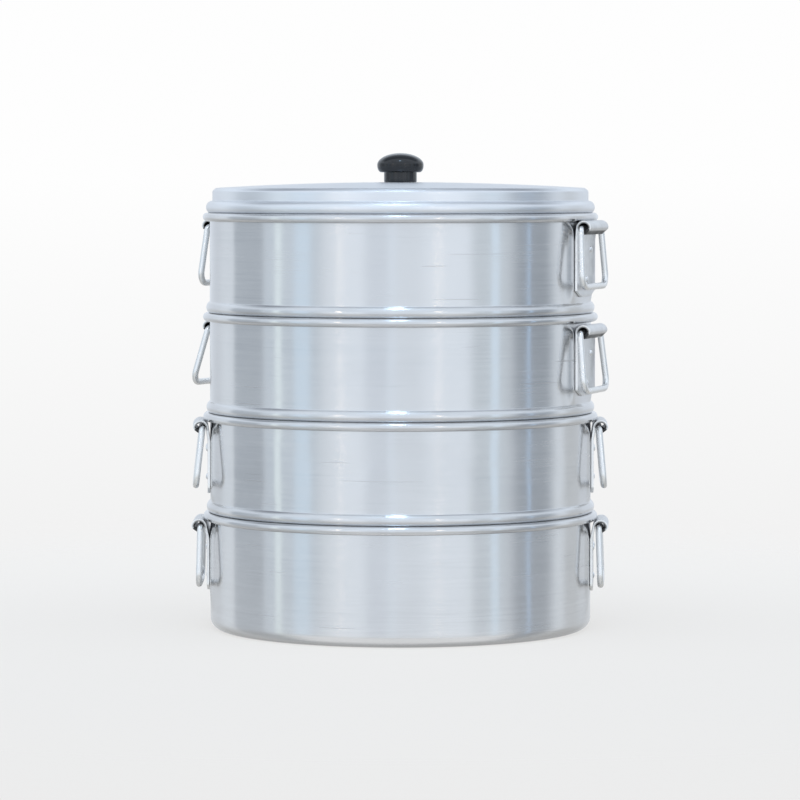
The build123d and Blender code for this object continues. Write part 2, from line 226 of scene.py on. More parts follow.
def build_floor():
    mesh = bpy.data.meshes.new("floor")
    form = bmesh.new()
    bmesh.ops.create_circle(form, cap_ends=True, segments=96, radius=floor_radius)
    form.to_mesh(mesh)
    form.free()
    floor = bpy.data.objects.new("floor", mesh)
    scene.collection.objects.link(floor)
    material, tree, surface = new_surface("floor")
    surface.inputs["Base Color"].default_value = (*floor_colour, 1.0)
    surface.inputs["Roughness"].default_value = floor_roughness
    surface.inputs["Specular IOR Level"].default_value = 0.0
    surface.inputs["Emission Color"].default_value = (1.0, 1.0, 1.0, 1.0)
    coordinates = tree.nodes.new("ShaderNodeTexCoord").outputs["Object"]
    place = tree.nodes.new("ShaderNodeSeparateXYZ")
    tree.links.new(coordinates, place.inputs[0])
    distance = tree.nodes.new("ShaderNodeVectorMath")
    distance.operation = "LENGTH"
    tree.links.new(coordinates, distance.inputs[0])
    away = distance.outputs["Value"]
    path = tree.nodes.new("ShaderNodeLightPath")
    reflected = path.outputs["Is Glossy Ray"]
    seen = math_node(tree, "MAXIMUM", path.outputs["Is Camera Ray"], reflected)
    seen = math_node(tree, "MAXIMUM", seen, path.outputs["Is Transmission Ray"])
    glow = smooth_range(tree, place.outputs["Y"], *floor_glow_run, floor_glow_near, floor_glow_far)
    ring = math_node(tree, "MULTIPLY", smooth_range(tree, away, *ring_start),
                     smooth_range(tree, away, *ring_end, 1.0, 0.0))
    ring = math_node(tree, "MULTIPLY", ring, smooth_range(tree, place.outputs["Y"], *ring_front))
    ring = math_node(tree, "MULTIPLY", ring, reflected)
    cover = smooth_range(tree, away, floor_solid, floor_radius, 1.0, 0.0)
    in_metal = smooth_range(tree, reflected, 0.0, 1.0, 1.0, floor_in_metal)
    cover = math_node(tree, "MULTIPLY", cover, in_metal)
    tree.links.new(math_node(tree, "MAXIMUM", cover, ring), surface.inputs["Alpha"])
    strength = math_node(tree, "MULTIPLY_ADD", ring, ring_glow, math_node(tree, "MULTIPLY", seen, glow))
    tree.links.new(strength, surface.inputs["Emission Strength"])
    mesh.materials.append(material)


build_floor()

# The finish of everything spun: brush lines that follow the spinning, short scratches, pits and
# the soft marks that hands and steam leave. One group holds them for the vessels and the lid.


def new_group(name, inputs, outputs):
    """A shader node group of number sockets. Inputs come with their values."""
    group = bpy.data.node_groups.new(name, "ShaderNodeTree")
    for label, value in inputs.items():
        socket = group.interface.new_socket(label, in_out="INPUT", socket_type="NodeSocketFloat")
        socket.default_value = value
    for label in outputs:
        group.interface.new_socket(label, in_out="OUTPUT", socket_type="NodeSocketFloat")
    return group, group.nodes.new("NodeGroupInput"), group.nodes.new("NodeGroupOutput")


def raise_surface(tree, surface, height, depth):
    """Raises a surface by the height socket times a depth in metres, with a Bump node."""
    bump = tree.nodes.new("ShaderNodeBump")
    bump.inputs["Strength"].default_value = 1.0
    bump.inputs["Distance"].default_value = depth
    tree.links.new(height, bump.inputs["Height"])
    tree.links.new(bump.outputs[0], surface.inputs["Normal"])


def noise_node(tree, vector, scale, detail=2.0, roughness=0.5, extra=None):
    """A Noise node. With extra it is four-dimensional and extra drives its fourth number."""
    node = tree.nodes.new("ShaderNodeTexNoise")
    node.noise_dimensions = "3D" if extra is None else "4D"
    tree.links.new(vector, node.inputs["Vector"])
    if extra is not None:
        tree.links.new(extra, node.inputs["W"])
    feed(tree, node.inputs["Scale"], scale)
    node.inputs["Detail"].default_value = detail
    node.inputs["Roughness"].default_value = roughness
    return node.outputs["Fac"]


def combine(tree, x, y, z):
    """One vector of three numbers or sockets."""
    node = tree.nodes.new("ShaderNodeCombineXYZ")
    for place, value in enumerate((x, y, z)):
        feed(tree, node.inputs[place], value)
    return node.outputs[0]


def moved_by_seed(tree, coordinates, seed):
    """Coordinates moved by a seed, so that no two pieces show the same place of a pattern."""
    moved = tree.nodes.new("ShaderNodeVectorMath")
    moved.operation = "ADD"
    tree.links.new(coordinates, moved.inputs[0])
    tree.links.new(combine(tree, seed, seed, seed), moved.inputs[1])
    return moved.outputs[0]


def build_spun_finish():
    """Brush lines round the axis, scratches, pits and smudges, from Object coordinates."""
    inputs = {"Line Length": 14.0, "Line Pitch": 900.0, "Dash Pitch": 130.0, "Seed": 0.0}
    group, start, end = new_group("spun_finish", inputs, ("Lines", "Smudges", "Marks", "Height"))
    along, pitch, dash, seed = [start.outputs[name] for name in inputs]
    coordinates = group.nodes.new("ShaderNodeTexCoord").outputs["Object"]
    place = group.nodes.new("ShaderNodeSeparateXYZ")
    group.links.new(coordinates, place.inputs[0])
    x, y, z = place.outputs
    radius = math_node(group, "SQRT", math_node(group, "ADD", math_node(group, "MULTIPLY", x, x),
                                                math_node(group, "MULTIPLY", y, y)))
    upwards = math_node(group, "MULTIPLY", z, pitch)
    stretched = combine(group, math_node(group, "MULTIPLY", x, along),
                        math_node(group, "MULTIPLY", y, along), upwards)
    outwards = math_node(group, "ADD", math_node(group, "MULTIPLY", radius, pitch), seed)
    fine = noise_node(group, stretched, 1.0, detail=3.0, roughness=0.7, extra=outwards)
    coarse = noise_node(group, stretched, 0.22, detail=2.0, roughness=0.6, extra=outwards)
    lines = math_node(group, "ADD", math_node(group, "MULTIPLY", fine, 0.6),
                      math_node(group, "MULTIPLY", coarse, 0.4))
    shifted = moved_by_seed(group, coordinates, seed)
    smudges = noise_node(group, shifted, 9.0, detail=4.0, roughness=0.55)
    scratches = 0.0
    for turn, tilt in ((0.35, 0.5), (1.9, -0.8), (2.8, 1.2)):
        turned = group.nodes.new("ShaderNodeMapping")
        turned.inputs["Rotation"].default_value = (tilt, turn, turn)
        turned.inputs["Scale"].default_value = (9.0, 9.0, 420.0)
        group.links.new(shifted, turned.inputs["Vector"])
        streak = noise_node(group, turned.outputs[0], 1.0, detail=1.0, roughness=0.4)
        scratches = math_node(group, "MAXIMUM", scratches, smooth_range(group, streak, 0.765, 0.80))
    cells = group.nodes.new("ShaderNodeTexVoronoi")
    cells.inputs["Scale"].default_value = 55.0
    group.links.new(shifted, cells.inputs["Vector"])
    pit = smooth_range(group, cells.outputs["Distance"], 0.02, 0.045, 1.0, 0.0)
    chosen = group.nodes.new("ShaderNodeSeparateXYZ")
    group.links.new(cells.outputs["Color"], chosen.inputs[0])
    pit = math_node(group, "MULTIPLY", pit, math_node(group, "GREATER_THAN", chosen.outputs["X"], 0.93))
    marks = math_node(group, "MAXIMUM", scratches, pit)
    dash_place = combine(group, math_node(group, "MULTIPLY", x, dash),
                         math_node(group, "MULTIPLY", y, dash), upwards)
    dashes = noise_node(group, dash_place, 1.0, detail=1.0, roughness=0.5, extra=outwards)
    height = math_node(group, "MULTIPLY_ADD", lines, 0.5, dashes)
    height = math_node(group, "SUBTRACT", height, math_node(group, "MULTIPLY", marks, 0.5))
    for name, socket in (("Lines", lines), ("Smudges", smudges), ("Marks", marks), ("Height", height)):
        group.links.new(socket, end.inputs[name])
    return group


spun_finish = build_spun_finish()
mark_colour = (0.40, 0.40, 0.41)
line_depth = 0.000012


def spun_aluminium(name, seed, light, dark, roughness, drawn_out):
    """Satin spun aluminium. The highlight is drawn out across the brush lines."""
    material, tree, surface = new_surface(name, metallic=1.0)
    surface.inputs["Anisotropic"].default_value = drawn_out
    surface.inputs["Anisotropic Rotation"].default_value = 0.25
    tangent = tree.nodes.new("ShaderNodeTangent")
    tangent.direction_type = "RADIAL"
    tangent.axis = "Z"
    tree.links.new(tangent.outputs[0], surface.inputs["Tangent"])
    finish = tree.nodes.new("ShaderNodeGroup")
    finish.node_tree = spun_finish
    finish.inputs["Seed"].default_value = seed
    lines = finish.outputs["Lines"]
    smudges = finish.outputs["Smudges"]
    marks = finish.outputs["Marks"]
    shade = math_node(tree, "ADD", math_node(tree, "MULTIPLY", lines, 0.5),
                      math_node(tree, "MULTIPLY", smudges, 0.5))
    colour = mix_colours(tree, smooth_range(tree, shade, 0.3, 0.6), dark, light)
    colour = mix_colours(tree, math_node(tree, "MULTIPLY", marks, 0.22), colour, mark_colour)
    tree.links.new(colour, surface.inputs["Base Color"])
    rough = math_node(tree, "ADD", smooth_range(tree, lines, 0.3, 0.7, -0.05, 0.06),
                      smooth_range(tree, smudges, 0.35, 0.7, -0.015, 0.04))
    rough = math_node(tree, "ADD", rough, math_node(tree, "MULTIPLY", marks, 0.1))
    tree.links.new(math_node(tree, "ADD", rough, roughness), surface.inputs["Roughness"])
    raise_surface(tree, surface, finish.outputs["Height"], line_depth)
    return material


# Water pot and steaming tiers. Each is one disc of soft aluminium sheet spun over a former:
# a flat floor, a straight wall and a rim curled outwards. A tier also has a spigot that drops
# into the rim below, a half-round bead that rests on that rim, and a punched floor.
mm = 0.001
wall_radius = 180 * mm
vessel_sheet = 1.5 * mm
pot_height = 111 * mm
tier_pitch = 94 * mm
pot_corner = 11 * mm
rim_curl = 4 * mm
rim_turn = 300
bead_radius = 6.3 * mm
bead_reach = 3.4 * mm
bead_fold = 1.5 * mm
seat_gap = 0.2 * mm
spigot_clearance = 1 * mm
spigot_depth = 12 * mm
spigot_corner = 4 * mm
steam_hole = 8 * mm
steam_ring_pitch = 26 * mm
steam_rings = 6
steam_holes_per_ring = 6
steam_hole_steps = 16
round_steps = 288
wall_steps = 24

wall_mid = wall_radius - vessel_sheet / 2
rim_x = wall_mid + rim_curl - vessel_sheet / 2
bead_x = wall_radius + bead_reach - bead_radius
bead_above_seam = sqrt((bead_radius + rim_curl + seat_gap) ** 2 - (rim_x - bead_x) ** 2) - rim_curl
spigot_mid = wall_radius - vessel_sheet - spigot_clearance - vessel_sheet / 2

# How far each vessel's right and left handles stand clockwise of +X and -X, in degrees.
handle_turns = {
    "pot": (3.5, -0.5), "lower_tier": (1.8, -2.8), "middle_tier": (18.2, 24.0), "upper_tier": (18.6, 24.5)}

# How deep each vessel's shallow dents are. The lower tier has had the most knocks.
wall_dents = {"pot": 0.04 * mm, "lower_tier": 0.16 * mm, "middle_tier": 0.05 * mm, "upper_tier": 0.05 * mm}
wall_wave = 0.16 * mm
wall_still_edge = 12 * mm

# How far the rivets pull a wall flat: sideways from a plate's middle, up and down from its rivets.
flat_half_width = 28 * mm
flat_side_fade = 16 * mm
flat_pull_width = 30 * mm
flat_half_height = 18 * mm
flat_height_fade = 42 * mm
rivets_below_rim = 46 * mm


def run_to(form, ends, x, z, steps=1):
    """A straight stretch of the section from its last point to x out and z up."""
    step = (Vector((x, 0, z)) - ends[0].co) / steps
    for _ in range(steps):
        ends = bmesh.ops.extrude_vert_indiv(form, verts=ends)["verts"]
        bmesh.ops.translate(form, verts=ends, vec=step)
    return ends


def bend_about(form, ends, x, z, turn, steps):
    """An arc of the section about x out and z up. A positive turn goes from outwards to upwards."""
    made = bmesh.ops.spin(
        form, geom=ends, cent=(x, 0, z), axis=(0, -1, 0), angle=radians(turn), steps=steps, use_merge=False)
    return [v for v in made["geom_last"] if isinstance(v, bmesh.types.BMVert)]


def round_corner(form, ends, corner, after, radius, steps):
    """A straight stretch towards a corner of the section, then a bend towards the point after it."""
    start = Vector((ends[0].co.x, ends[0].co.z))
    come = (Vector(corner) - start).normalized()
    leave = (Vector(after) - Vector(corner)).normalized()
    turn = atan2(come.cross(leave), come.dot(leave))
    side = 1 if turn > 0 else -1
    bend = Vector(corner) - come * radius * tan(abs(turn) / 2)
    ends = run_to(form, ends, bend.x, bend.y)
    middle = bend + side * radius * Vector((-come.y, come.x))
    return bend_about(form, ends, middle.x, middle.y, degrees(turn), steps)


def fold_height(x, bead_mid):
    return sqrt((bead_mid + bead_fold) ** 2 - (x + bead_fold - bead_x) ** 2)


def draw_bead(form, ends, z, low_x, high_x, sheet):
    """The half-round bead at height z between two uprights, with a small fold above and below it."""
    bead_mid = bead_radius - sheet / 2
    low = fold_height(low_x, bead_mid)
    high = fold_height(high_x, bead_mid)
    low_turn = degrees(atan2(low, bead_x - low_x - bead_fold))
    high_turn = degrees(atan2(high, high_x + bead_fold - bead_x))
    ends = run_to(form, ends, low_x, z - low, 2)
    ends = bend_about(form, ends, low_x + bead_fold, z - low, low_turn - 180, 6)
    ends = bend_about(form, ends, bead_x, z, 180 - low_turn + high_turn, 18)
    return bend_about(form, ends, high_x + bead_fold, z + high, -high_turn, 6)


def spin_round(form, steps=round_steps):
    """Spins the section once round the Z axis and closes the seam and the poles."""
    bmesh.ops.spin(form, geom=form.verts[:] + form.edges[:], cent=(0, 0, 0), axis=(0, 0, 1),
                   angle=2 * pi, steps=steps, use_merge=True)
    bmesh.ops.remove_doubles(form, verts=form.verts, dist=0.01 * mm)


def punched_floor(form, edge_radius, z):
    """A flat floor out to edge_radius, with rings of steam holes round a middle hole."""
    level = Matrix.Translation((0, 0, z))
    outline = bmesh.ops.create_circle(form, segments=round_steps, radius=edge_radius, matrix=level)["verts"]
    for ring in range(steam_rings + 1):
        count = max(1, ring * steam_holes_per_ring)
        for number in range(count):
            turn = Matrix.Rotation(2 * pi * number / count, 4, "Z")
            place = turn @ Matrix.Translation((ring * steam_ring_pitch, 0, z))
            outline += bmesh.ops.create_circle(
                form, segments=steam_hole_steps, radius=steam_hole / 2, matrix=place)["verts"]
    edges = list({edge for vertex in outline for edge in vertex.link_edges})
    bmesh.ops.triangle_fill(form, use_beauty=True, use_dissolve=False, edges=edges, normal=(0, 0, 1))


def eased(share):
    """A share held between 0 and 1, with a soft start and a soft end."""
    share = min(1.0, max(0.0, share))
    return share * share * (3 - 2 * share)


def worn_wall(point, turns, rivet_z, low, high, dents):
    """Where a point of a wall really lies. Its rivets pull the wall flat against the
    handle plates, and the rest of it waves and has shallow dents, as thin spun sheet does."""
    radius = hypot(point.x, point.y)
    angle = atan2(point.y, point.x)
    inside = eased(min(point.z - low, high - point.z) / wall_still_edge)
    waves = wall_wave * noise.noise(Vector((3.1 * cos(angle), 3.1 * sin(angle), 9 * point.z)))
    waves += dents * noise.noise(Vector((8 * cos(angle), 8 * sin(angle), 34 * point.z)))
    calm = 1.0
    push = 0.0
    for turn in turns:
        away = (angle - radians(turn) + pi) % (2 * pi) - pi
        along = abs(away) * radius
        beside = eased(1 - (along - flat_half_width) / flat_side_fade)
        level = eased(1 - (abs(point.z - rivet_z) - flat_half_height) / flat_height_fade)
        push += beside * level * min(along, flat_pull_width) ** 2 / (2 * radius)
        calm = min(calm, 1 - beside * level)
    scale = 1 + inside * (push + calm * waves) / radius
    return Vector((point.x * scale, point.y * scale, point.z))


def add_piece(name, form, material, body, sheet=None, bevel=None, sharp=35, rim=None):
    """Makes a finished object of a bmesh, gives it its sheet and edge rounding, and fixes it to
    its body. A rim is the material of the sheet's cut edges, where they look different."""
    bmesh.ops.recalc_face_normals(form, faces=form.faces)
    mesh = bpy.data.meshes.new(name)
    form.to_mesh(mesh)
    form.free()
    piece = bpy.data.objects.new(name, mesh)
    scene.collection.objects.link(piece)
    mesh.materials.append(material)
    if rim:
        mesh.materials.append(rim)
    if sheet:
        solid = piece.modifiers.new("sheet", "SOLIDIFY")
        solid.thickness = sheet
        solid.offset = 0.0
        solid.use_even_offset = True
        solid.material_offset_rim = 1 if rim else 0
    if bevel:
        edge = piece.modifiers.new("edge", "BEVEL")
        edge.width = bevel
        edge.segments = 2
        edge.limit_method = "ANGLE"
        edge.angle_limit = radians(50)
    if piece.modifiers:
        bpy.context.view_layer.update()
        evaluated = piece.evaluated_get(bpy.context.evaluated_depsgraph_get())
        finished = bpy.data.meshes.new_from_object(evaluated)
        piece.modifiers.clear()
        piece.data = finished
        bpy.data.meshes.remove(mesh)
        finished.name = name
    piece.data.shade_smooth()
    piece.data.set_sharp_from_angle(angle=radians(sharp))
    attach(piece, body)
    return piece


def make_vessel(name, number):
    """The water pot when number is 0, else the tier that many places up."""
    top = pot_height + number * tier_pitch
    seam = top - tier_pitch
    form = bmesh.new()
    if number:
        corner = spigot_corner - vessel_sheet / 2
        floor_z = seam - spigot_depth + vessel_sheet / 2
        edge_x = spigot_mid - corner
        ends = [form.verts.new((edge_x, 0, floor_z))]
        ends = bend_about(form, ends, edge_x, floor_z + corner, 90, 6)
        wall_low = seam + bead_above_seam
        ends = draw_bead(form, ends, wall_low, spigot_mid, wall_mid, vessel_sheet)
    else:
        corner = pot_corner - vessel_sheet / 2
        floor_z = vessel_sheet / 2
        edge_x = wall_mid - corner
        wall_low = pot_corner
        ends = run_to(form, [form.verts.new((0, 0, floor_z))], edge_x, floor_z, 8)
        ends = bend_about(form, ends, edge_x, floor_z + corner, 90, 12)
    ends = run_to(form, ends, wall_mid, top - rim_curl, wall_steps)
    bend_about(form, ends, rim_x, top - rim_curl, -rim_turn, 30)
    spin_round(form)
    if number:
        punched_floor(form, edge_x, floor_z)
        bmesh.ops.remove_doubles(form, verts=form.verts, dist=0.02 * mm)
    turns = (-handle_turns[name][0], 180 - handle_turns[name][1])
    wall_high = top - rim_curl
    rivet_z = top - rivets_below_rim
    for vertex in form.verts:
        if wall_low < vertex.co.z < wall_high and hypot(vertex.co.x, vertex.co.y) > spigot_mid:
            vertex.co = worn_wall(vertex.co, turns, rivet_z, wall_low, wall_high, wall_dents[name])
    node = name + "_pan" if number else "water_pot"
    piece = add_piece(node + "_spun", form, vessel_metal, name, sheet=vessel_sheet)
    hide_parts(node)


vessel_light = (0.70, 0.705, 0.715)
vessel_dark = (0.61, 0.617, 0.627)
vessel_metal = spun_aluminium("spun aluminium vessels", 3.7, vessel_light, vessel_dark, 0.20, 0.95)
for number, name in enumerate(handle_turns):
    make_vessel(name, number)

# Lid. One disc of the same sheet, spun into a skirt that drops inside the top rim, a bead
# that rests on it, an upright band, a small chamfer and a low dome. A hole in the middle
# takes the screw of the knob.
lid_sheet = 1.5 * mm
lid_band_inset = 2.6 * mm
lid_rise = 28.7 * mm
lid_chamfer = Vector((3, 2.4)) * mm
lid_chamfer_round = 2 * mm
lid_crown = 5 * mm
lid_flat_run = 6 * mm
lid_skirt_depth = 10 * mm
screw_hole_radius = 3.3 * mm

lid_seam = pot_height + 3 * tier_pitch
lid_top = lid_seam + lid_rise
lid_band_mid = wall_radius - lid_band_inset - lid_sheet / 2
lid_skirt_mid = wall_radius - vessel_sheet - spigot_clearance - lid_sheet / 2


def make_lid():
    crown_mid = lid_top - lid_sheet / 2
    chamfer_x = lid_band_mid - lid_chamfer.x
    dome_x = chamfer_x - lid_flat_run
    dome_radius = (dome_x**2 + lid_crown**2) / (2 * lid_crown)
    dome_edge = crown_mid - lid_crown
    run_z = dome_edge - lid_flat_run * dome_x / (dome_radius - lid_crown)
    form = bmesh.new()
    ends = [form.verts.new((lid_skirt_mid, 0, lid_seam - lid_skirt_depth))]
    ends = draw_bead(form, ends, lid_seam + bead_above_seam, lid_skirt_mid, lid_band_mid, lid_sheet)
    chamfer_foot = (lid_band_mid, run_z - lid_chamfer.y)
    ends = run_to(form, ends, lid_band_mid, chamfer_foot[1] - 2 * lid_chamfer.y, 4)
    ends = round_corner(form, ends, chamfer_foot, (chamfer_x, run_z), lid_chamfer_round, 6)
    ends = round_corner(form, ends, (chamfer_x, run_z), (dome_x, dome_edge), lid_chamfer_round, 6)
    ends = run_to(form, ends, dome_x, dome_edge, 2)
    half_angle = degrees(atan2(dome_x, dome_radius - lid_crown) - asin(screw_hole_radius / dome_radius))
    bend_about(form, ends, 0, crown_mid - dome_radius, half_angle, 24)
    spin_round(form)
    metal = spun_aluminium("spun aluminium lid", 11.0, (0.79, 0.81, 0.84), (0.71, 0.73, 0.76), 0.33, 0.6)
    piece = add_piece("lid_spun", form, metal, "lid", sheet=lid_sheet)
    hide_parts("lid_cover")


make_lid()

# Knob. A solid mushroom of black phenolic, pressed in a hot mould round its brass insert and
# buffed. The mould leaves a fine parting line round the widest place.
knob_stem_radius = 15.5 * mm
knob_stem_height = 9.2 * mm
knob_stem_round = 0.8 * mm
knob_neck_radius = 18 * mm
knob_cap_radius = 22 * mm
knob_cap_low = 6.8 * mm
knob_cap_high = 11.4 * mm
parting_line = 0.22 * mm
clamp_gap = 0.02 * mm
knob_steps = 128
pocket_radius = 5.02 * mm
pocket_depth = 9.02 * mm


def quarter_ellipse(form, ends, x, z, wide, tall, start, steps):
    """A quarter of an ellipse round x and z, anticlockwise from start degrees."""
    for step in range(1, steps + 1):
        angle = radians(start + 90 * step / steps)
        ends = run_to(form, ends, x + wide * cos(angle), z + tall * sin(angle))
    return ends


def black_phenolic():
    """Black and glossy, with a faint ripple from the mould and a few grains of dust."""
    material, tree, surface = new_surface("black phenolic")
    surface.inputs["Specular IOR Level"].default_value = 0.05
    surface.inputs["Coat Weight"].default_value = 0.75
    surface.inputs["Coat Roughness"].default_value = 0.03
    surface.inputs["Coat IOR"].default_value = 1.6
    place = tree.nodes.new("ShaderNodeTexCoord").outputs["Object"]
    cloud = noise_node(tree, place, 60.0, detail=4.0)
    ripple = noise_node(tree, place, 240.0)
    specks = noise_node(tree, place, 1500.0, detail=1.0)
    worn = smooth_range(tree, cloud, 0.35, 0.7)
    colour = mix_colours(tree, worn, (0.004, 0.005, 0.007), (0.010, 0.011, 0.014))
    dust = smooth_range(tree, specks, 0.72, 0.78)
    tree.links.new(mix_colours(tree, dust, colour, (0.09, 0.09, 0.09)), surface.inputs["Base Color"])
    rough = smooth_range(tree, cloud, 0.3, 0.7, 0.18, 0.30)
    rough = math_node(tree, "ADD", rough, math_node(tree, "MULTIPLY", dust, 0.3))
    tree.links.new(rough, surface.inputs["Roughness"])
    raise_surface(tree, surface, ripple, 0.00008)
    return material


def make_knob():
    base = lid_top + clamp_gap
    cap_low = base + knob_stem_height
    widest = cap_low + knob_cap_low
    form = bmesh.new()
    ends = [form.verts.new((0, 0, base + pocket_depth))]
    ends = run_to(form, ends, pocket_radius, base + pocket_depth)
    ends = run_to(form, ends, pocket_radius, base)
    foot = (knob_stem_radius, base)
    ends = round_corner(form, ends, foot, (knob_stem_radius, cap_low), knob_stem_round, 5)
    ends = run_to(form, ends, knob_stem_radius, cap_low, 3)
    ends = run_to(form, ends, knob_neck_radius, cap_low, 2)
    flank = knob_cap_radius - knob_neck_radius
    ends = quarter_ellipse(form, ends, knob_neck_radius, widest, flank, knob_cap_low, -90, 14)
    ends = run_to(form, ends, knob_cap_radius - parting_line / 2, widest + parting_line / 2)
    ends = run_to(form, ends, knob_cap_radius, widest + parting_line)
    crown = knob_cap_high - parting_line
    quarter_ellipse(form, ends, 0, widest + parting_line, knob_cap_radius, crown, 0, 26)
    spin_round(form, knob_steps)
    piece = add_piece("knob_moulded", form, black_phenolic(), "lid", sharp=40)
    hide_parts("lid_knob")


make_knob()

# The knob's insert, screw and washer. A turned brass bush, and a slotted screw and a pressed
# washer with bright zinc plating. They stay as the frame has them.


def build_turned_finish():
    """Fine tool marks and a cloudy tarnish, from Object coordinates."""
    inputs = {"Cloud Scale": 300.0, "Grain Scale": 2500.0}
    group, start, end = new_group("turned_finish", inputs, ("Cloud", "Grain"))
    place = group.nodes.new("ShaderNodeTexCoord").outputs["Object"]
    for name, detail in (("Cloud", 3.0), ("Grain", 2.0)):
        pattern = noise_node(group, place, start.outputs[name + " Scale"], detail=detail)
        group.links.new(pattern, end.inputs[name])
    return group


turned_finish = build_turned_finish()


def turned_metal(name, bright, dull, roughness):
    """Turned or pressed metal, in two shades of its tarnish."""
    material, tree, surface = new_surface(name, metallic=1.0)
    finish = tree.nodes.new("ShaderNodeGroup")
    finish.node_tree = turned_finish
    tarnish = smooth_range(tree, finish.outputs["Cloud"], 0.35, 0.65)
    tree.links.new(mix_colours(tree, tarnish, bright, dull), surface.inputs["Base Color"])
    grain = finish.outputs["Grain"]
    rough = smooth_range(tree, grain, 0.3, 0.7, roughness - 0.06, roughness + 0.08)
    tree.links.new(rough, surface.inputs["Roughness"])
    raise_surface(tree, surface, grain, 0.00001)
    return material


zinc = turned_metal("bright zinc", (0.72, 0.73, 0.75), (0.58, 0.59, 0.62), 0.26)
brass = turned_metal("turned brass", (0.83, 0.64, 0.30), (0.62, 0.46, 0.20), 0.24)
for node, metal in (("knob_insert", brass), ("knob_screw", zinc), ("knob_washer", zinc)):
    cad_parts[node].material_slots[0].material = metal

# Handle plates. Thick aluminium strip, guillotined, its lower corners nipped off and its top
# rolled outwards round the bail's rod. Its faces are dull as rolled. Its cut edges are painted
# near white, a painted highlight over the brighter sheared metal.
plate_sheet = 2.5 * mm
plate_width = 60 * mm
plate_wall_gap = 0.1 * mm
plate_corner = Vector((16, 6)) * mm
plate_bend = 10 * mm
plate_lean_run = 13 * mm
roll_radius = 7.2 * mm
roll_turn_end = 20
lip_bend = 2.2 * mm
lip_slope = 45
lip_length = 6.6 * mm
roll_rim_gap = 0.35 * mm
rod_radius = 3 * mm
rod_seat_gap = 0.2 * mm

roll_mid = roll_radius - plate_sheet / 2
plate_mid = wall_radius + plate_wall_gap + plate_sheet / 2
plate_face = wall_radius + plate_wall_gap + plate_sheet

# Each vessel's own pair: how far the plates lean out above the bend, how much lower than usual
# their rolls sit, how tall they are, and how far the right and left bails hang out, in degrees.
plate_leans = {"pot": 12, "lower_tier": 8, "middle_tier": 1, "upper_tier": 5}
roll_drops = {"pot": 0, "lower_tier": 0, "middle_tier": 2 * mm, "upper_tier": 0}
plate_heights = {"pot": 68 * mm, "lower_tier": 69.5 * mm, "middle_tier": 66.5 * mm, "upper_tier": 71 * mm}
bail_hangs = {"pot": (2, 1.5), "lower_tier": (5, 6.5), "middle_tier": (6, 15), "upper_tier": (3.8, 6)}


def handle_top(name):
    """The height under which a handle's roll lies, as it would under a rim."""
    return pot_height + list(plate_leans).index(name) * tier_pitch - roll_drops[name]


def roll_place(lean, top):
    """The middle of a handle's roll, as distance from the axis and height, under the rim at top."""
    x = plate_mid + plate_lean_run * sin(radians(lean)) + roll_mid * cos(radians(lean))
    z = top - rim_curl - sqrt((rim_curl + roll_radius + roll_rim_gap) ** 2 - (x - rim_x) ** 2)
    return x, z


def lip_start():
    """Where the lip leaves its bend, from the middle of the roll, for a plate that doesn't lean."""
    offset = roll_mid - lip_bend
    x = offset * cos(radians(roll_turn_end)) + lip_bend * cos(radians(lip_slope))
    z = offset * sin(radians(roll_turn_end)) - lip_bend * sin(radians(lip_slope))
    return x, z


def from_roll(lean, top, x, z):
    """A place given from the middle of the roll of an upright plate, for one that leans."""
    roll_x, roll_z = roll_place(lean, top)
    turn = radians(lean)
    return roll_x + x * cos(turn) + z * sin(turn), roll_z - x * sin(turn) + z * cos(turn)


def build_rolled_finish():
    """Clouds of oxide, fine grain and the lines of rolling or drawing, from Object coordinates."""
    group, start, end = new_group("rolled_finish", {"Seed": 0.0}, ("Cloud", "Grain", "Lines"))
    coordinates = group.nodes.new("ShaderNodeTexCoord").outputs["Object"]
    place = moved_by_seed(group, coordinates, start.outputs["Seed"])
    rolled = group.nodes.new("ShaderNodeMapping")
    rolled.inputs["Scale"].default_value = (1500.0, 1500.0, 40.0)
    group.links.new(place, rolled.inputs["Vector"])
    cloud = noise_node(group, place, 70.0, detail=4.0, roughness=0.6)
    grain = noise_node(group, place, 1300.0, detail=3.0, roughness=0.6)
    lines = noise_node(group, rolled.outputs[0], 1.0)
    for name, socket in (("Cloud", cloud), ("Grain", grain), ("Lines", lines)):
        group.links.new(socket, end.inputs[name])
    return group


rolled_finish = build_rolled_finish()
# Painted shade: the near black that stands for the shade inside each handle plate's roll.
roll_shade_colour = (0.06, 0.06, 0.06)


def plate_metal(name, seed, bright, dull, roughness, depth):
    """Bare rolled or drawn aluminium, rubbed brighter in patches. It is painted nearly black, as
    painted shade inside a plate's roll, wherever a mesh's painted_roll_shade attribute is 1."""
    material, tree, surface = new_surface(name, metallic=1.0)
    finish = tree.nodes.new("ShaderNodeGroup")
    finish.node_tree = rolled_finish
    finish.inputs["Seed"].default_value = seed
    cloud = finish.outputs["Cloud"]
    grain = finish.outputs["Grain"]
    lines = finish.outputs["Lines"]
    shade = math_node(tree, "MULTIPLY_ADD", lines, 0.35, math_node(tree, "MULTIPLY", cloud, 0.65))
    painted_roll_shade = tree.nodes.new("ShaderNodeAttribute")
    painted_roll_shade.attribute_name = "painted_roll_shade"
    colour = mix_colours(tree, smooth_range(tree, shade, 0.38, 0.6), dull, bright)
    # Painted shade: the colour goes nearly black where the painted_roll_shade attribute is 1.
    colour = mix_colours(tree, painted_roll_shade.outputs["Fac"], colour, roll_shade_colour)
    tree.links.new(colour, surface.inputs["Base Color"])
    rough = math_node(tree, "ADD", smooth_range(tree, cloud, 0.35, 0.65, -0.07, 0.07),
                      smooth_range(tree, grain, 0.3, 0.7, -0.008, 0.01))
    tree.links.new(math_node(tree, "ADD", rough, roughness), surface.inputs["Roughness"])
    height = math_node(tree, "ADD", grain, math_node(tree, "MULTIPLY", lines, 0.5))
    height = math_node(tree, "MULTIPLY_ADD", cloud, 0.8, height)
    raise_surface(tree, surface, height, depth)
    return material


